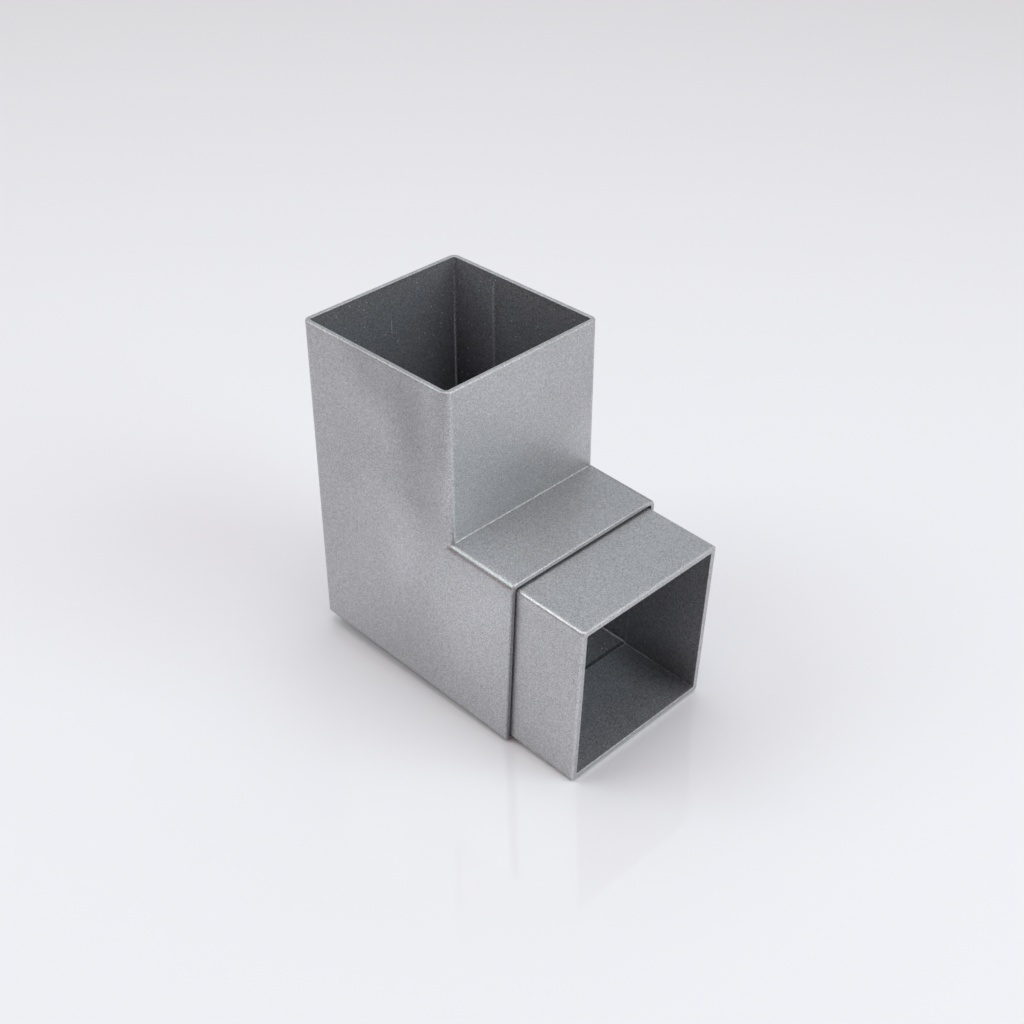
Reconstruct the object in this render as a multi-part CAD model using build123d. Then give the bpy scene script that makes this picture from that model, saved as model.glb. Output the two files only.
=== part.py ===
from build123d import *
import math
import os

# Square downspout elbow: two lengths of square seam-welded steel tube, mitred and welded,
# and the short square sleeve that stands out of the outlet and slides into the next pipe.
# It is drawn from its heel, the outside edge of the mitre: the inlet leg rises along Z,
# and the outlet leg runs along X and falls a little, so that water drains.
# Lengths are in millimetres and angles in degrees.

# Square tube that both legs are cut from
tube_side = 80.0
tube_wall = 2.0
bore_corner_radius = 1.2
seam_width = 2.0
seam_height = 0.4
seam_offset = 25.0  # middle of the seam from the heel side of the inlet leg
seam_setback = 3.5  # how far the bead is ground away behind each rim

# Elbow
outlet_fall = 2.5  # how far the outlet leg leans down from level
inlet_reach = 142.5  # heel to inlet rim, along the back
outlet_reach = 109.5  # heel to outlet rim, along the underside
throat_weld = 0.6  # leg length of the ground weld in the throat

# Sleeve in the outlet
sleeve_wall = 2.5
sleeve_bore_corner_radius = 0.5
sleeve_overlap = 4.0  # how far it starts behind the outlet rim
sleeve_projection = 33.3  # how far it stands out of the outlet rim

# Clearances and dressing
seam_clearance = 0.1  # between a seam bead and the sleeve that slides past it
corner_clearance = 0.3  # how much larger the sleeve's corner radius is than the bore's
rim_radius = 0.6  # cut ends are eased before they are coated

# Sizes that follow from those above
tube_corner_radius = bore_corner_radius + tube_wall
bore_side = tube_side - 2 * tube_wall
sleeve_side = bore_side - 2 * (seam_height + seam_clearance)
sleeve_corner_radius = bore_corner_radius + corner_clearance
sleeve_drop = (bore_side - sleeve_side) / 2
half_turn = math.radians(90 + outlet_fall) / 2
fall = math.radians(outlet_fall)

# Unit vectors seen from the side: along the outlet leg, square to it towards the throat,
# and along the mitre from the heel to the throat
along_outlet = Vector(math.cos(fall), 0, -math.sin(fall))
across_outlet = Vector(math.sin(fall), 0, math.cos(fall))
along_mitre = Vector(math.sin(half_turn), 0, math.cos(half_turn))
throat = along_mitre * (tube_side / math.sin(half_turn))

# The axes of the two legs, each with its local X from the heel side to the throat side
inlet_axis = Plane(origin=(tube_side / 2, 0, 0), x_dir=(1, 0, 0), z_dir=(0, 0, 1))
outlet_axis = Plane(origin=across_outlet * (tube_side / 2), x_dir=across_outlet, z_dir=along_outlet)
mitre = Plane(origin=(0, 0, 0), x_dir=(0, 1, 0), z_dir=(-along_mitre.Z, 0, along_mitre.X))


def square_tube(side, wall, corner_radius, bore_radius, start, end):
    """A square tube with rounded corners, along local Z from start to end."""
    outside = RectangleRounded(side, side, corner_radius)
    bore = RectangleRounded(side - 2 * wall, side - 2 * wall, bore_radius)
    return extrude(Plane.XY.offset(start) * (outside - bore), amount=end - start)


def seam_bead(position, start, end):
    """The low rounded bead that the tube's weld leaves on the bore's +Y wall."""
    wall_face = bore_side / 2
    left = (position - seam_width / 2, wall_face)
    crown = (position, wall_face - seam_height)
    right = (position + seam_width / 2, wall_face)
    profile = make_face(ThreePointArc(left, crown, right) + Line(right, left))
    return extrude(Plane.XY.offset(start) * profile, amount=end - start)


def cut_leg(reach, seam_position):
    """One length of tube with its rim eased and its bead ground away there, uncut behind the heel."""
    saw_margin = tube_wall
    corners = (tube_corner_radius, bore_corner_radius)
    leg = square_tube(tube_side, tube_wall, *corners, -saw_margin, reach)
    leg = fillet(leg.edges().group_by(Axis.Z)[-1], rim_radius)
    return leg + seam_bead(seam_position, -saw_margin, reach - seam_setback)


def throat_fillet():
    """The weld in the throat: a small cove as long as the flat between the tube's corners."""
    flat = tube_side - 2 * tube_corner_radius
    up = throat + Vector(0, 0, throat_weld)
    out = throat + along_outlet * throat_weld
    centre = throat + along_mitre * (throat_weld / math.cos(half_turn))
    middle = centre - along_mitre * (throat_weld * math.tan(half_turn))
    cove = make_face(ThreePointArc(up, middle, out) + Polyline(out, throat, up))
    return extrude(cove, amount=flat / 2, both=True)


def make_elbow():
    """Both legs cut at the mitre and welded into one piece.

    The two legs come from one tube with a single slanted cut. One is turned over to make
    the corner, which brings its seam to the opposite side, away from the heel.
    """
    inlet_leg = inlet_axis * cut_leg(inlet_reach, seam_offset - tube_side / 2)
    outlet_leg = outlet_axis * cut_leg(outlet_reach, tube_side / 2 - seam_offset)
    inlet_leg = split(inlet_leg, bisect_by=mitre, keep=Keep.TOP)
    outlet_leg = split(outlet_leg, bisect_by=mitre, keep=Keep.BOTTOM)
    return inlet_leg + outlet_leg + throat_fillet()


def make_sleeve():
    """The sleeve, resting on the floor of the outlet's bore, with room above and beside it."""
    corners = (sleeve_corner_radius, sleeve_bore_corner_radius)
    start = outlet_reach - sleeve_overlap
    sleeve = square_tube(sleeve_side, sleeve_wall, *corners, start, outlet_reach + sleeve_projection)
    edges = sleeve.edges().group_by(Axis.Z)
    sleeve = fillet(edges[0] + edges[-1], rim_radius)
    return outlet_axis * Pos(-sleeve_drop, 0, 0) * sleeve


pieces = {"elbow_body": make_elbow(), "spigot_sleeve": make_sleeve()}

# The origin is the middle of the underside of the box round the whole part
box = Compound(list(pieces.values())).bounding_box()
to_origin = Pos(-box.center().X, -box.center().Y, -box.min.Z)

os.makedirs("parts", exist_ok=True)
for name, piece in pieces.items():
    export_step(to_origin * piece, f"parts/{name}.step")
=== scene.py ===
import math

import bpy
import numpy as np
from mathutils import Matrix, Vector


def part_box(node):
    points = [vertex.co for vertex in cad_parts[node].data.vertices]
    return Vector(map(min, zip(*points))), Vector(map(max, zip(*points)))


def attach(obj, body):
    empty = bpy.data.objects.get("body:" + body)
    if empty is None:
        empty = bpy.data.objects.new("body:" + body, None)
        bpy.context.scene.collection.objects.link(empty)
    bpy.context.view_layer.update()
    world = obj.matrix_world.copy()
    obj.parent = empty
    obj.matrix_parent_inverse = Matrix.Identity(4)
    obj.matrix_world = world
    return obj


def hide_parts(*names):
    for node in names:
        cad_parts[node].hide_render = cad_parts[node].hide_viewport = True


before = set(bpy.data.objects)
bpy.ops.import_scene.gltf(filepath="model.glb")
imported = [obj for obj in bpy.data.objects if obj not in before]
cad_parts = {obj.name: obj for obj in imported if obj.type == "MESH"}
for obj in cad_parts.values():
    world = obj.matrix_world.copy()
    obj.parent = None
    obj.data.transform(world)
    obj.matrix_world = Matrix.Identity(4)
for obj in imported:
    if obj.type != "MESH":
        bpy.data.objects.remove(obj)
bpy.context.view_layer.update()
scene = bpy.context.scene

# Elbow body
# Two lengths of 80 mm square steel tube, cut to a mitre and welded, with the weld ground flush
# outside and left as a thin bead in the throat. It is powder-coated after welding.
MM = 0.001
TUBE_SIDE, TUBE_WALL = 80.0, 2.0
TUBE_CORNER, BORE_CORNER = 3.2, 1.2
INLET_REACH, OUTLET_REACH = 142.5, 109.5
OUTLET_FALL = math.radians(2.5)
RIM_RADIUS, INNER_RIM_RADIUS = 0.6, 0.2
HEEL_ROUNDING, THROAT_WELD, THROAT_CREASE, BORE_ROUNDING = 0.7, 0.6, 0.15, 0.5
WELD_RIPPLE, WELD_RIPPLE_PITCH, WELD_RIPPLE_SEED = 0.2, 1.6, 4
SEAM_FROM_HEEL, SEAM_WIDTH, SEAM_HEIGHT = 25.0, 1.8, 0.45
SEAM_SETBACK, SEAM_FADE = 3.5, 3.0
SLEEVE_PROJECTION = 33.3  # the outlet's depth counts from the sleeve's mouth
EDGE_MARGIN = 0.01  # how near to an edge a point or a row counts as on it

# Painted light: 1 is a painted highlight on a rim's rounded edge, 0 a flat, and less than 0 painted shade
RIM_EDGE_HIGHLIGHT, RIM_MIDDLE_HIGHLIGHT, SEAM_HIGHLIGHT = 1.0, 0.3, 3.0
FOLD_HIGHLIGHT, OUTLET_FOLD_SHADE = 0.6, -1.0  # painted highlight on the folds, and painted shade on the outlet leg's, which are duller than its flats
OUTLET_RIM_TOP_HIGHLIGHT, OUTLET_RIM_SIDE_SHADE = 0.6, -0.8  # painted highlight on the outlet rim's top, painted shade on its sides beside the sleeve

elbow_low, elbow_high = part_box("elbow_body")
heel = np.array([elbow_low.x / MM, 0.0, elbow_high.z / MM - INLET_REACH])
half_turn = (math.radians(90) + OUTLET_FALL) / 2
ALONG_INLET = np.array([0.0, 0.0, 1.0])
ACROSS_INLET = np.array([1.0, 0.0, 0.0])
ALONG_OUTLET = np.array([math.cos(OUTLET_FALL), 0.0, -math.sin(OUTLET_FALL)])
ACROSS_OUTLET = np.array([math.sin(OUTLET_FALL), 0.0, math.cos(OUTLET_FALL)])
ALONG_MITRE = np.array([math.sin(half_turn), 0.0, math.cos(half_turn)])
ACROSS_MITRE = np.array([-math.cos(half_turn), 0.0, math.sin(half_turn)])
SIDEWAYS = np.array([0.0, 1.0, 0.0])


def flat_steps(count, extra=()):
    """Places along a flat from 0 to 1, even, with one close to each end to keep the flat's shading flat."""
    close = 0.004
    return np.unique(np.concatenate([[0.0, close, 1 - close], np.linspace(0, 1, count + 1)[:-1], extra]))


def square_loop(side, corner, flats, arc_steps=9):
    """A square with rounded corners, as points round its middle, one flat and one corner after the other.

    A flat is a straight line from one tangent point to the next, and a corner is a quarter circle
    about a point one corner radius in from both sides. Each side is the first one turned by 90 degrees.
    """
    half, straight = side / 2, side / 2 - corner
    turn = np.linspace(0, math.pi / 2, arc_steps, endpoint=False)[1:]
    sides = []
    for quarter, places in enumerate(flats):
        along = np.concatenate([straight * (2 * places - 1), straight + corner * np.sin(turn)])
        out = np.concatenate([np.full(len(places), half), straight + corner * np.cos(turn)])
        c, s = round(math.cos(quarter * math.pi / 2)), round(math.sin(quarter * math.pi / 2))
        sides.append(np.stack([c * out - s * along, s * out + c * along], axis=1))
    return np.concatenate(sides)


def tube_skin(side, wall, corners, flats, inset):
    """The loop that lies so far under a tube's outside, from 0 there to the wall's thickness at the bore.

    Its corner radius goes evenly from the outside's to the bore's.
    """
    share = inset / wall
    return square_loop(side - 2 * inset, corners[0] * (1 - share) + corners[1] * share, flats)


def rim_rows(wall, steps=6):
    """A rim from the outside to the bore, as rows of inset and distance behind the cut end.

    Both its edges are quarter circles, and one row close to each keeps the shading between them flat.
    """
    close = 0.15
    turn = np.linspace(0, math.pi / 2, steps)
    quarter = np.stack([1 - np.cos(turn), 1 - np.sin(turn)], axis=1)
    inner = INNER_RIM_RADIUS * quarter[::-1]
    middle = [[RIM_RADIUS + close, 0.0], [wall - INNER_RIM_RADIUS - close, 0.0]]
    return np.concatenate([RIM_RADIUS * quarter, middle, np.stack([wall - inner[:, 0], inner[:, 1]], axis=1)])


def rim_painted_light(rows, wall):
    """Painted highlights on a rim's rounded edges, and weaker ones between them."""
    inset = rows[:, 0]
    between = (inset > RIM_RADIUS + EDGE_MARGIN) & (inset < wall - INNER_RIM_RADIUS - EDGE_MARGIN)
    return np.where(between, RIM_MIDDLE_HIGHLIGHT, RIM_EDGE_HIGHLIGHT)


def fold_share(loop, side, corner):
    """How far a loop's points are into its rounded corners: 1 halfway, and 0 on the flats.

    It is the sine of twice the angle, so twice the product of the two ways past the flats over their
    squares' sum.
    """
    over = np.clip(np.abs(loop) - (side / 2 - corner), 0, None)
    return 2 * over[:, 0] * over[:, 1] / np.maximum((over ** 2).sum(axis=1), 1e-9)


def join_strips(strips):
    """Joins strips of (points, depth, painted light) to one grid of each.

    A strip's depth and painted light may be one value, or one for each row or column.
    """
    points = np.concatenate([strip[0] for strip in strips])
    depth = np.concatenate([np.broadcast_to(strip[1], strip[0].shape[:2]) for strip in strips])
    painted_light = np.concatenate([np.broadcast_to(strip[2], strip[0].shape[:2]) for strip in strips])
    return points, depth, painted_light


def grid_mesh(name, grid, depth, painted_light):
    """A closed mesh from a grid of points in mm: its rows close on themselves, and so do its columns.

    Each point also keeps how many mm it lies down the bore, 0 outside, and how much light or shade is painted
    there.
    """
    rows, columns = grid.shape[:2]
    index = np.arange(rows * columns).reshape(rows, columns)
    right, below = np.roll(index, -1, axis=1), np.roll(index, -1, axis=0)
    corner = np.roll(right, -1, axis=0)
    faces = np.stack([index, right, corner, below], axis=-1).reshape(-1, 4)
    points = grid.reshape(-1, 3) * MM
    # Six times the volume inside the faces: where it is less than 0 they point inwards, and are turned round
    a, b, c, d = (points[faces[:, k]] for k in range(4))
    volume = np.einsum("ij,ij->i", a, np.cross(b, c)).sum() + np.einsum("ij,ij->i", a, np.cross(c, d)).sum()
    if volume < 0:
        faces = faces[:, ::-1]
    mesh = bpy.data.meshes.new(name)
    mesh.from_pydata(points.tolist(), [], faces.tolist())
    mesh.polygons.foreach_set("use_smooth", np.ones(len(faces), bool))
    for key, values in (("bore_depth", depth), ("painted_light", painted_light)):
        mesh.attributes.new(key, "FLOAT", "POINT").data.foreach_set("value", values.ravel())
    piece = bpy.data.objects.new(name, mesh)
    scene.collection.objects.link(piece)
    return piece


def smooth_noise(places, pitch, seed, count=400):
    """A wandering value between -1 and 1: random values one pitch apart, joined by half cosine waves."""
    values = np.random.default_rng(seed).uniform(-1, 1, count)
    step = places / pitch + count / 2
    low = np.floor(step).astype(int)
    ease = (1 - np.cos((step - low) * math.pi)) / 2
    return values[low] * (1 - ease) + values[low + 1] * ease


def leg_rows(loop, tangent, across, along, reach, shares):
    """A leg's skin: each point of the loop runs straight from the bend's end to the rim's start.

    It starts where the mitre cuts it, its distance from the heel over tan(half turn), plus the tangent.
    """
    from_heel = loop[:, 0] + TUBE_SIDE / 2
    start = from_heel / math.tan(half_turn) + tangent
    run = start[None] + shares[:, None] * (reach - RIM_RADIUS - start)[None]
    flat = from_heel[:, None] * across + loop[:, 1:2] * SIDEWAYS
    return flat[None] + run[..., None] * along


def bend_rows(loop, tangent, steps=10):
    """The skin across the mitre: each point of the loop turns from one leg to the other on an arc.

    The arc touches both legs one tangent length from the mitre, so its centre lies on the mitre line
    at tangent / cos(half turn), and its radius is tangent * tan(half turn).
    """
    from_heel = loop[:, 0] + TUBE_SIDE / 2
    centre = from_heel / math.sin(half_turn) + tangent / math.cos(half_turn)
    radius = tangent * math.tan(half_turn)
    reach = math.pi / 2 - half_turn
    turn = np.linspace(reach, -reach, steps + 1)[1:-1, None]
    along = centre[None] - radius[None] * np.cos(turn)
    across = radius[None] * np.sin(turn)
    flat = loop[:, 1:2] * SIDEWAYS
    return flat[None] + along[..., None] * ALONG_MITRE + across[..., None] * ACROSS_MITRE


def rim_grid(side, wall, corners, flats, rows, across, along, reach):
    """A rim's rows of points: each row is the skin at its inset, so far behind the cut end."""
    loops = [tube_skin(side, wall, corners, flats, inset) for inset, _ in rows]
    return np.stack([(loop[:, :1] + side / 2) * across + loop[:, 1:] * SIDEWAYS + (reach - behind) * along
                     for loop, (_, behind) in zip(loops, rows)])


def seam_beads(bore, depth, from_heel, wall):
    """How high the tube's inner weld bead stands: a parabola across it, faded out near the rim.

    It lies on one side wall only: wall is 1 for the one at +Y, and -1 for the one at -Y.
    """
    across = np.clip(1 - ((from_heel - SEAM_FROM_HEEL) / (SEAM_WIDTH / 2)) ** 2, 0, 1)
    on_wall = wall * bore[:, 1] > TUBE_SIDE / 2 - TUBE_WALL - BORE_CORNER
    fade = np.clip((depth - SEAM_SETBACK) / SEAM_FADE, 0, 1)
    return SEAM_HEIGHT * (fade * (across * on_wall)[None])


def elbow_grid():
    """The whole elbow as one closed grid: down the outside, round the outlet rim, back through the bore."""
    # The throat's flat has enough steps for the weld's ripple, and the side walls' have more at the bead
    throat_steps, side_steps, heel_steps, bead_steps = 110, 14, 10, 9
    bead = np.linspace(-0.5, 0.5, bead_steps) * SEAM_WIDTH + TUBE_SIDE / 2 - SEAM_FROM_HEEL
    bead = bead / (TUBE_SIDE - 2 * TUBE_CORNER) + 0.5
    side_wall = flat_steps(side_steps, bead)
    flats = [flat_steps(throat_steps), side_wall, flat_steps(heel_steps), side_wall]
    tube = (TUBE_SIDE, TUBE_WALL, (TUBE_CORNER, BORE_CORNER), flats)
    outside, bore = tube_skin(*tube, 0.0), tube_skin(*tube, TUBE_WALL)

    # One row close to each end of a leg keeps its shading flat, and three draw the bead's faded end
    near_ends = [0.012, 0.92, 0.95, 0.97, 0.988]
    shares = np.unique(np.concatenate([near_ends, np.linspace(0, 1, 15)]))

    # How far from the mitre the outside starts to turn: by the weld's size on the throat's flat, by the
    # crease's beside it, and from there evenly to the heel's rounding
    welded = outside[:, 0] > TUBE_SIDE / 2 - EDGE_MARGIN
    ripple = 1 + WELD_RIPPLE * smooth_noise(outside[:, 1], WELD_RIPPLE_PITCH, WELD_RIPPLE_SEED)
    tangent = np.where(welded, THROAT_WELD * ripple, THROAT_CREASE)
    throat_share = (outside[:, 0] + TUBE_SIDE / 2) / TUBE_SIDE
    tangent = HEEL_ROUNDING + (tangent - HEEL_ROUNDING) * throat_share
    bore_tangent = np.full(len(bore), BORE_ROUNDING)

    inlet = (ACROSS_INLET, ALONG_INLET, INLET_REACH)
    outlet = (ACROSS_OUTLET, ALONG_OUTLET, OUTLET_REACH)
    inlet_bore = leg_rows(bore, bore_tangent, *inlet, shares)
    outlet_bore = leg_rows(bore, bore_tangent, *outlet, shares)[::-1]
    inlet_depth = INLET_REACH - inlet_bore @ ALONG_INLET
    outlet_depth = OUTLET_REACH - outlet_bore @ ALONG_OUTLET
    from_heel = bore[:, 0] + TUBE_SIDE / 2
    inlet_bead = seam_beads(bore, inlet_depth, from_heel, 1)
    outlet_bead = seam_beads(bore, outlet_depth, TUBE_SIDE - from_heel, -1)
    inlet_bore -= inlet_bead[..., None] * SIDEWAYS
    outlet_bore += outlet_bead[..., None] * SIDEWAYS

    rim = rim_rows(TUBE_WALL)[1:-1]
    folds = fold_share(outside, TUBE_SIDE, TUBE_CORNER)
    on_top = outside[:, 0] > TUBE_SIDE / 2 - TUBE_CORNER
    outlet_rim_painted_light = np.where(on_top, OUTLET_RIM_TOP_HIGHLIGHT, OUTLET_RIM_SIDE_SHADE)
    inlet_rim_painted_light = rim_painted_light(rim, TUBE_WALL)[::-1, None]
    # The bore's bend rows run from the inlet to the outlet, as the outside's do, while the bore's other
    # rows come back from the outlet. So its skin doubles back for 0.7 mm at the mitre, deep in the bore.
    points, depth, painted_light = join_strips([
        (leg_rows(outside, tangent, *inlet, shares)[::-1], 0.0, FOLD_HIGHLIGHT * folds),
        (bend_rows(outside, tangent), 0.0, FOLD_HIGHLIGHT * folds),
        (leg_rows(outside, tangent, *outlet, shares), 0.0, OUTLET_FOLD_SHADE * folds),
        (rim_grid(*tube, rim, *outlet), 0.0, outlet_rim_painted_light),
        # The bores' inner weld beads are painted brighter than the walls round them, a painted highlight
        (outlet_bore, outlet_depth + SLEEVE_PROJECTION, SEAM_HIGHLIGHT * outlet_bead / SEAM_HEIGHT),
        (bend_rows(bore, bore_tangent), INLET_REACH, 0.0),
        (inlet_bore, inlet_depth, SEAM_HIGHLIGHT * inlet_bead / SEAM_HEIGHT),
        (rim_grid(*tube, rim[::-1], *inlet), 0.0, inlet_rim_painted_light),
    ])
    return points + heel, depth, painted_light


def linear(hex_colour):
    """An sRGB colour such as 'A0A1A5' as linear red, green, blue and alpha, by the sRGB curve."""
    srgb = np.array([int(hex_colour[k:k + 2], 16) / 255 for k in (0, 2, 4)])
    low, high = srgb / 12.92, ((srgb + 0.055) / 1.055) ** 2.4
    return (*np.where(srgb <= 0.04045, low, high).tolist(), 1.0)


def add(tree, kind, settings=(), links=()):
    """Adds a node to a tree, sets its properties and sockets, and links other nodes' outputs to them."""
    node = tree.nodes.new(kind)
    for key, value in dict(settings).items():
        if isinstance(key, str) and hasattr(node, key):
            setattr(node, key, value)
        else:
            node.inputs[key].default_value = value
    for key, source in dict(links).items():
        tree.links.new(source, node.inputs[key])
    return node


# Powder coat: silver-grey epoxy-polyester powder with aluminium flake, sprayed dry and baked.
# The flake gives a soft metallic sheen and a fine glitter. Folds and cut edges are painted brighter, as
# painted highlights, and down the bore the coat is dull, speckled and painted darker with depth, as painted
# shade.
COAT_COLOUR, BORE_COLOUR = "B6B6B9", "B8BAC0"
COAT_METALLIC, COAT_ROUGHNESS, BORE_ROUGHNESS = 0.85, 0.37, 0.45
FLAKE_MM, FLAKE_SHARE = 0.3, 0.31  # real flake is about 0.05 mm: drawn coarser, as clusters, so it shows
GRAIN_MM, GRAIN_SHARE, GRAIN_DEPTH = 1.0, 0.02, 0.006
CLOUD_MM, CLOUD_SHARE = 30.0, 0.03
PAINTED_LIGHT_GAIN, BORE_SPECKLE = 0.2, 1.5
DUST_RADIUS, DUST_GAIN = 0.35, 1.6
# Down the bore the colour darkens with depth, to its darkest 90 mm in: painted shade
THIN_AT, DEEPEST_SHADE_AT, DEEPEST_SHADE = 2.0, 90.0, 0.55


def spread(tree, value, share, low=0.25, high=0.75):
    """Turns a pattern's values between low and high into a factor that is 1, give or take the share."""
    limits = {"From Min": low, "From Max": high, "To Min": 1 - share, "To Max": 1 + share}
    return add(tree, "ShaderNodeMapRange", limits, {"Value": value}).outputs["Result"]


def patches(tree, place, factor, soft_patches, share):
    """Multiplies a factor by soft ellipsoids: 1 at the edge, 1 plus strength times share in the middle."""
    for centre, half_size, tilt, strength in soft_patches:
        settings = {"vector_type": "TEXTURE", "Location": [value * MM for value in centre],
                    "Rotation": (0.0, math.radians(tilt), 0.0), "Scale": [value * MM for value in half_size]}
        local = add(tree, "ShaderNodeMapping", settings, {"Vector": place}).outputs["Vector"]
        patch = add(tree, "ShaderNodeTexGradient", {"gradient_type": "SPHERICAL"}, {"Vector": local})
        middle = add(tree, "ShaderNodeMapRange", {"To Min": 1.0, "To Max": 1 + strength}, {"Value": share})
        patch = add(tree, "ShaderNodeMapRange", {"interpolation_type": "SMOOTHSTEP", "To Min": 1.0},
                    {"Value": patch.outputs["Fac"], "To Max": middle.outputs["Result"]}).outputs["Result"]
        product = add(tree, "ShaderNodeMath", {"operation": "MULTIPLY"}, {0: factor, 1: patch})
        factor = product.outputs["Value"]
    return factor


def dust_specks(tree, moved, inside, dust_mm):
    """A factor that is brighter within the dust's radius of one random point in each cell, inside only."""
    dust = add(tree, "ShaderNodeTexVoronoi", {"Scale": 1 / (dust_mm * MM)}, {"Vector": moved})
    radius = {"operation": "LESS_THAN", 1: DUST_RADIUS / dust_mm}
    speck = add(tree, "ShaderNodeMath", radius, {0: dust.outputs["Distance"]}).outputs["Value"]
    speck = add(tree, "ShaderNodeMath", {"operation": "MULTIPLY"}, {0: speck, 1: inside}).outputs["Value"]
    gain = {"operation": "MULTIPLY_ADD", 1: DUST_GAIN, 2: 1.0}
    return add(tree, "ShaderNodeMath", gain, {0: speck}).outputs["Value"]


def powder_coat(name, offset, dust_mm, reflection_patches, bore_marks_and_shade):
    """The base colour times the factors of flake, grain, clouds, painted light, painted shade with depth,
    dust and patches.

    The offset moves the patterns, in metres, and the dust has one speck in each cell of dust_mm. The
    reflection patches show outside only, and the bore's marks and shade inside only.
    """
    material = bpy.data.materials.new(name)
    material.use_nodes = True
    tree = material.node_tree
    shader = tree.nodes["Principled BSDF"]
    place = add(tree, "ShaderNodeTexCoord").outputs["Object"]
    moved = add(tree, "ShaderNodeMapping", {"Location": offset}, {"Vector": place}).outputs["Vector"]
    flake = add(tree, "ShaderNodeTexVoronoi", {"Scale": 1 / (FLAKE_MM * MM)}, {"Vector": moved})
    flake = add(tree, "ShaderNodeSeparateColor", {}, {"Color": flake.outputs["Color"]}).outputs["Red"]
    grain = add(tree, "ShaderNodeTexNoise", {"Scale": 1 / (GRAIN_MM * MM), "Detail": 2.0}, {"Vector": moved})
    cloud = add(tree, "ShaderNodeTexNoise", {"Scale": 1 / (CLOUD_MM * MM), "Detail": 1.0}, {"Vector": moved})
    depth = add(tree, "ShaderNodeAttribute", {"attribute_name": "bore_depth"}).outputs["Fac"]
    painted_light = add(tree, "ShaderNodeAttribute", {"attribute_name": "painted_light"}).outputs["Fac"]
    inside = add(tree, "ShaderNodeMapRange", {"From Max": THIN_AT}, {"Value": depth}).outputs["Result"]
    outside = add(tree, "ShaderNodeMapRange", {"From Max": THIN_AT, "To Min": 1.0, "To Max": 0.0},
                  {"Value": depth}).outputs["Result"]

    speckle = add(tree, "ShaderNodeMapRange", {"To Min": 1.0, "To Max": BORE_SPECKLE}, {"Value": inside})
    glitter = spread(tree, flake, FLAKE_SHARE, 0.0, 1.0)
    factor = add(tree, "ShaderNodeMath", {"operation": "POWER"},
                 {0: glitter, 1: speckle.outputs["Result"]}).outputs["Value"]
    depth_shade = add(tree, "ShaderNodeMapRange",
                   {"From Max": DEEPEST_SHADE_AT, "To Min": 1.0, "To Max": DEEPEST_SHADE}, {"Value": depth})
    painted_light_factor = add(tree, "ShaderNodeMapRange",
                   {"clamp": False, "To Min": 1.0, "To Max": 1 + PAINTED_LIGHT_GAIN}, {"Value": painted_light})
    others = [
        spread(tree, grain.outputs["Fac"], GRAIN_SHARE),
        spread(tree, cloud.outputs["Fac"], CLOUD_SHARE),
        depth_shade.outputs["Result"],
        painted_light_factor.outputs["Result"],
        dust_specks(tree, moved, inside, dust_mm),
    ]
    for other in others:
        product = add(tree, "ShaderNodeMath", {"operation": "MULTIPLY"}, {0: factor, 1: other})
        factor = product.outputs["Value"]
    factor = patches(tree, place, factor, reflection_patches, outside)
    factor = patches(tree, place, factor, bore_marks_and_shade, inside)

    colours = {"data_type": "VECTOR", 4: linear(COAT_COLOUR)[:3], 5: linear(BORE_COLOUR)[:3]}
    base = add(tree, "ShaderNodeMix", colours, {0: inside}).outputs[1]
    tint = add(tree, "ShaderNodeVectorMath", {"operation": "SCALE"}, {0: base, "Scale": factor})
    bump = add(tree, "ShaderNodeBump", {"Strength": 1.0, "Distance": GRAIN_DEPTH * MM},
               {"Height": grain.outputs["Fac"]})
    rough = add(tree, "ShaderNodeMapRange", {"To Min": COAT_ROUGHNESS, "To Max": BORE_ROUGHNESS},
                {"Value": inside})
    tree.links.new(tint.outputs["Vector"], shader.inputs["Base Color"])
    tree.links.new(bump.outputs["Normal"], shader.inputs["Normal"])
    tree.links.new(rough.outputs["Result"], shader.inputs["Roughness"])
    shader.inputs["Metallic"].default_value = COAT_METALLIC
    return material


# Painted reflections: darker and brighter patches on the outside walls, standing in for what the walls
# mirror. Each is (centre, half size in mm, tilt in degrees, strength).
LEFT_WALL, PATCH_DEPTH = -TUBE_SIDE / 2, 3
WALL_REFLECTION_PATCHES = [
    ((-35, LEFT_WALL, 143), (20, PATCH_DEPTH, 30), -48, -0.18),
    ((-12, LEFT_WALL, 124), (19, PATCH_DEPTH, 57), -7, -0.27),
    ((-10, LEFT_WALL, 93), (15, PATCH_DEPTH, 80), -69, -0.08),
    ((7, LEFT_WALL, 149), (10, PATCH_DEPTH, 69), 8, -0.20),
    ((-22, LEFT_WALL, 60), (15, PATCH_DEPTH, 40), 6, 0.11),
    ((19, LEFT_WALL, 51), (36, PATCH_DEPTH, 58), 33, 0.15),
    ((-55, LEFT_WALL, 82), (25, PATCH_DEPTH, 80), 16, -0.07),
    ((-13, LEFT_WALL, 23), (70, PATCH_DEPTH, 54), 9, -0.09),
    ((7, -5, 135), (PATCH_DEPTH, 60, 40), 0, 0.07),
    ((7, -3, 97), (PATCH_DEPTH, 34, 17), 0, -0.08),
    ((7, 38, 100), (PATCH_DEPTH, 22, 24), 0, 0.13),
    ((9, -8, 83), (18, 32, 6), 0, -0.08),
    ((20, 16, 82), (30, 42, 6), 0, -0.11),
    ((30, -30, 81), (26, 25, 6), 0, 0.10),
]
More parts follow.
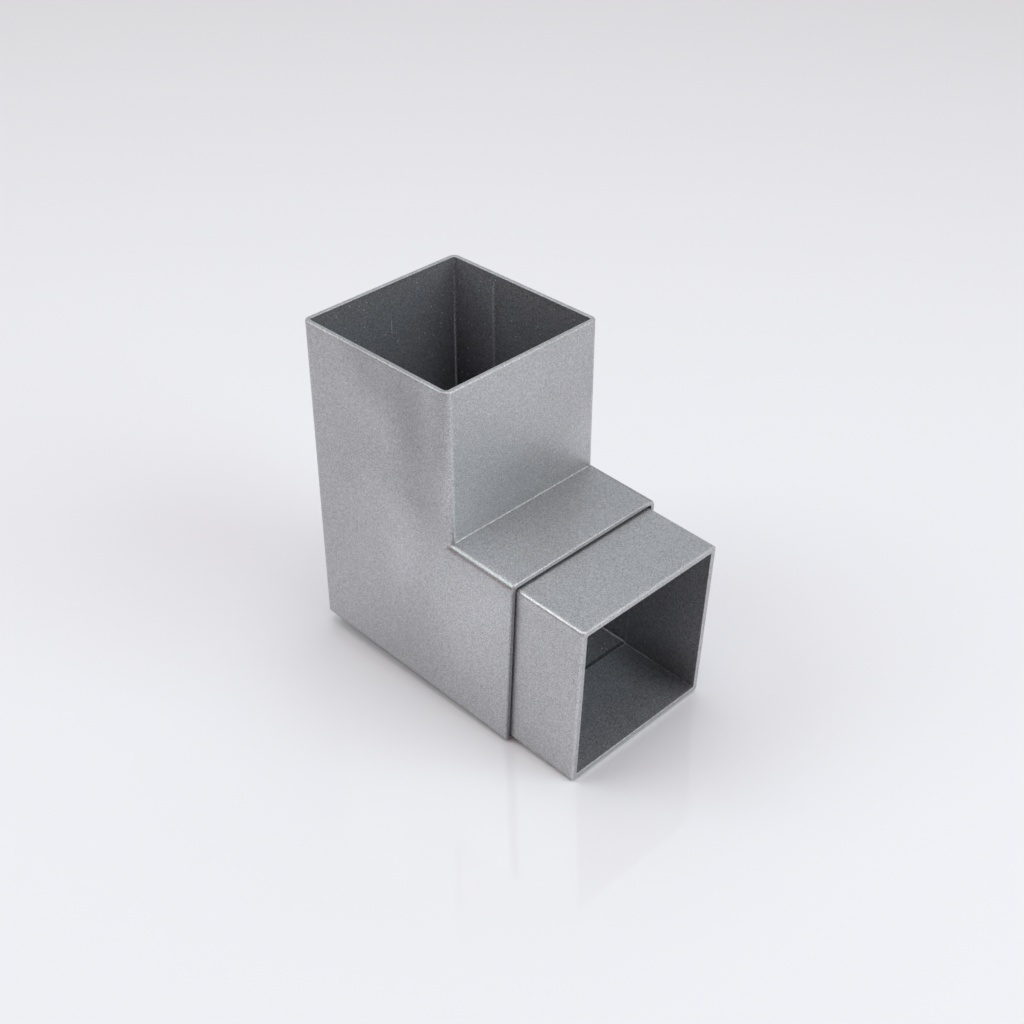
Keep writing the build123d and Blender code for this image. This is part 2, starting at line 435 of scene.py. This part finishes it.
# The bore has one fine scratch on its back wall, and painted shade deep in its back corner and a
# painted shadow on its floor just beyond the sleeve's inner end.
BORE_SCRATCH_AND_SHADE = [
    ((-71.0, 2.8, 128.0), (0.5, 0.4, 6.0), 0.0, 1.0),
    ((-71, 38, 85), (24, 24, 50), 0, -0.4),
    ((29.9, 0.0, 2.3), (1.5, 120.0, 1.8), 2.5, -0.6),
]
BODY_DUST_MM = 3.4
body_coat = powder_coat("powder_coat_body", (0.0, 0.0, 0.0), BODY_DUST_MM, WALL_REFLECTION_PATCHES, BORE_SCRATCH_AND_SHADE)
elbow = grid_mesh("coated_elbow", *elbow_grid())
elbow.data.materials.append(body_coat)
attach(elbow, "root")
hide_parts("elbow_body")

# Spigot sleeve
# A short length of 75 mm square tube with tight corners and a 2.5 mm wall, coated in the same powder.
# It rests on the floor of the outlet and stands out of it, with a dark gap above and beside it.
SLEEVE_SIDE, SLEEVE_WALL = 75.0, 2.5
SLEEVE_CORNERS = (1.5, 0.5)
SLEEVE_OVERLAP = 4.0
SLEEVE_START, SLEEVE_END = OUTLET_REACH - SLEEVE_OVERLAP, OUTLET_REACH + SLEEVE_PROJECTION
INNER_EDGE_HIGHLIGHT, INNER_END_SHADE = 2.0, -2.5  # painted highlight on the inner end's bore edge, painted shade on the inner end's face
# A brighter patch on the sleeve's top, a painted reflection: (centre, half size in mm, tilt in degrees,
# strength)
SLEEVE_REFLECTION_PATCHES = [((50, -30, 76.4), (32, 36, 8), 2.5, 0.09)]
SLEEVE_BORE_SHADE = [((55, 35, 2), (45, 20, 26), 2.5, -0.4)]  # painted shade in the far corner
SLEEVE_DUST_MM = 12.0
SLEEVE_PATTERN_SHIFT = (0.37, 0.0, 0.11)  # so that the sleeve's grain doesn't run on from the body's


def sleeve_grid():
    """The sleeve as one closed grid: over the open rim, through the bore, over the inner rim, and outside."""
    flats = [flat_steps(14)] * 4
    tube = (SLEEVE_SIDE, SLEEVE_WALL, SLEEVE_CORNERS, flats)
    rim = rim_rows(SLEEVE_WALL)
    middle = np.array([0.012, 0.25, 0.5, 0.75, 0.988])
    length = SLEEVE_END - SLEEVE_START
    behind = RIM_RADIUS + middle * (length - 2 * RIM_RADIUS)
    rows = np.concatenate([
        rim,
        np.stack([np.full(len(behind), SLEEVE_WALL), behind], axis=1),
        np.stack([rim[::-1, 0], length - rim[::-1, 1]], axis=1),
        np.stack([np.zeros(len(behind)), behind[::-1]], axis=1),
    ])
    grid = rim_grid(*tube, rows, ACROSS_OUTLET, ALONG_OUTLET, SLEEVE_END)
    depth = np.where(rows[:, 0] == SLEEVE_WALL, rows[:, 1], 0.0)
    inner_end = rows[:, 1] > length - RIM_RADIUS
    bore_edge = inner_end & (rows[:, 0] > SLEEVE_WALL - INNER_RIM_RADIUS - EDGE_MARGIN)
    folds = FOLD_HIGHLIGHT * fold_share(tube_skin(*tube, 0.0), SLEEVE_SIDE, SLEEVE_CORNERS[0])
    painted_light = folds * (rows[:, :1] == 0.0)
    painted_light[:len(rim)] = rim_painted_light(rim, SLEEVE_WALL)[:, None]
    painted_light[inner_end] = INNER_END_SHADE
    painted_light[bore_edge] = INNER_EDGE_HIGHLIGHT
    return join_strips([(grid + TUBE_WALL * ACROSS_OUTLET + heel, depth[:, None], painted_light)])


sleeve_coat = powder_coat("powder_coat_sleeve", SLEEVE_PATTERN_SHIFT, SLEEVE_DUST_MM, SLEEVE_REFLECTION_PATCHES,
                          SLEEVE_BORE_SHADE)
sleeve = grid_mesh("coated_sleeve", *sleeve_grid())
sleeve.data.materials.append(sleeve_coat)
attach(sleeve, "root")
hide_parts("spigot_sleeve")

# Floor
# A wide sheet of white laminate, pressed to a high gloss, that the elbow stands on. The gloss shows a
# faint mirror image of what stands there.
FLOOR_SIZE = 8.0
LAMINATE_COLOUR, LAMINATE_ROUGHNESS, LAMINATE_IOR = "F0F1F5", 0.01, 1.5
floor_mesh = bpy.data.meshes.new("floor")
edge = FLOOR_SIZE / 2
floor_corners = [(-edge, -edge, 0), (edge, -edge, 0), (edge, edge, 0), (-edge, edge, 0)]
floor_mesh.from_pydata(floor_corners, [], [(0, 1, 2, 3)])
floor = bpy.data.objects.new("floor", floor_mesh)
scene.collection.objects.link(floor)
laminate = bpy.data.materials.new("white_laminate")
laminate.use_nodes = True
surface = laminate.node_tree.nodes["Principled BSDF"]
surface.inputs["Base Color"].default_value = linear(LAMINATE_COLOUR)
surface.inputs["Roughness"].default_value = LAMINATE_ROUGHNESS
surface.inputs["IOR"].default_value = LAMINATE_IOR
floor_mesh.materials.append(laminate)

# Light
# Softboxes to the right, to the left and overhead, in a pale room with a brighter back wall. The room's
# light is its own colour, plus the wall's times a power of the cosine towards the wall.
ROOM_COLOUR, WALL_COLOUR, WALL_SPREAD = (0.465, 0.374, 0.349), (0.190, 0.349, 0.409), 4.0
WALL_AZIMUTH, WALL_ELEVATION = 225, 40
SOFTBOX_DISTANCE = 2.0


def direction(azimuth, elevation):
    """The unit vector towards an azimuth and elevation: azimuth 0 is the front, at -Y, and 90 is at +X."""
    a, e = math.radians(azimuth), math.radians(elevation)
    return Vector((math.sin(a) * math.cos(e), -math.cos(a) * math.cos(e), math.sin(e)))


world = bpy.data.worlds.new("pale_room")
scene.world = world
world.use_nodes = True
room = world.node_tree
towards_wall = direction(WALL_AZIMUTH, WALL_ELEVATION)
facing = add(room, "ShaderNodeTexCoord").outputs["Generated"]
facing = add(room, "ShaderNodeVectorMath", {"operation": "DOT_PRODUCT", 1: towards_wall}, {0: facing})
facing = add(room, "ShaderNodeMath", {"operation": "MAXIMUM", 1: 0.0}, {0: facing.outputs["Value"]})
glow = add(room, "ShaderNodeMath", {"operation": "POWER", 1: WALL_SPREAD}, {0: facing.outputs["Value"]})
level = add(room, "ShaderNodeVectorMath", {"operation": "MULTIPLY_ADD", 1: WALL_COLOUR, 2: ROOM_COLOUR},
            {0: glow.outputs["Value"]})
room.links.new(level.outputs["Vector"], room.nodes["Background"].inputs["Color"])


def softbox(name, azimuth, elevation, size, power):
    """A square area light that faces the object. Its power is in watts of red, green and blue."""
    place = direction(azimuth, elevation) * SOFTBOX_DISTANCE
    light = bpy.data.lights.new(name, "AREA")
    light.shape = "SQUARE"
    light.size = size
    light.energy = max(power)
    light.color = [share / max(power) for share in power]
    lamp = bpy.data.objects.new(name, light)
    lamp.location = place
    lamp.rotation_euler = place.to_track_quat("Z", "Y").to_euler()
    scene.collection.objects.link(lamp)


softbox("right_softbox", 110, 35, 1.3, (11.4, 14.2, 14.5))
softbox("left_softbox", 315, 45, 1.1, (7.6, 9.2, 9.2))
softbox("overhead_softbox", 45, 89, 1.1, (10.3, 9.8, 10.4))

# Camera
# It looks down on the elbow's corner from the front right, at 45 degrees round and 35 degrees up.
IMAGE_SIDE = 1024
FOCAL_PIXELS = 1558.2
CAMERA_AZIMUTH, CAMERA_ELEVATION, CAMERA_DISTANCE = 44.815, 35.233, 623.26
AIM_FROM_HEEL = np.array([69.15, 3.99, 64.87])
camera_data = bpy.data.cameras.new("camera")
camera_data.sensor_width = 36.0
camera_data.lens = FOCAL_PIXELS * camera_data.sensor_width / IMAGE_SIDE
camera = bpy.data.objects.new("camera", camera_data)
back = direction(CAMERA_AZIMUTH, CAMERA_ELEVATION)
camera.location = Vector((heel + AIM_FROM_HEEL) * MM) + back * CAMERA_DISTANCE * MM
camera.rotation_euler = back.to_track_quat("Z", "Y").to_euler()
scene.collection.objects.link(camera)
scene.camera = camera
scene.view_settings.view_transform = "Standard"
